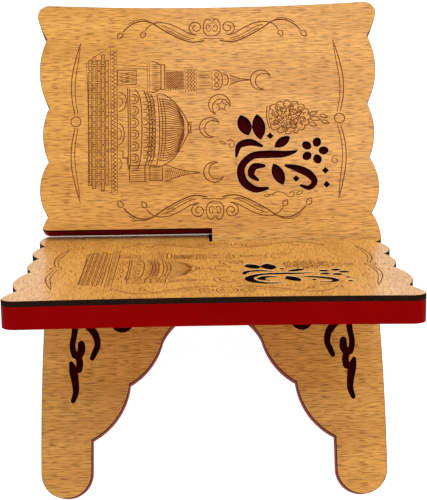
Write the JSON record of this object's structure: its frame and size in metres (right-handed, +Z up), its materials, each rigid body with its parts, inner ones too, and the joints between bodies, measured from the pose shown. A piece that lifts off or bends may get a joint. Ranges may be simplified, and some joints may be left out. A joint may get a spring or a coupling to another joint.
{
  "type": "quran stand",
  "caption": "Low X-shaped book stand of two slotted, scalloped boards that cross at the waist, with veneered engraved faces on red painted bases and arched legs.",
  "frame": {"origin": "on the floor, midway between the four feet, straight under the line where the two boards cross", "axes": "+Z up, +Y from the front edge to the back edge, +X to the right of a reader in front"},
  "size_m": [0.2166, 0.2758, 0.1832],
  "materials": {
    "red_paint": "satin red paint on fibreboard",
    "beech_veneer": "clear lacquer on beech veneer, engraved, with charred edges"
  },
  "bodies": {
    "rear_board": {"rear_board_base": "red_paint", "rear_board_face": "beech_veneer"},
    "front_board": {"front_board_base": "red_paint", "front_board_face": "beech_veneer"}
  },
  "joints": [
    {"name": "board_crossing", "type": "hinge", "parent": "rear_board", "child": "front_board", "pos_m": [0, 0, 0.08917], "axis": [-1, 0, 0], "range_deg": [0, 47]}
  ]
}
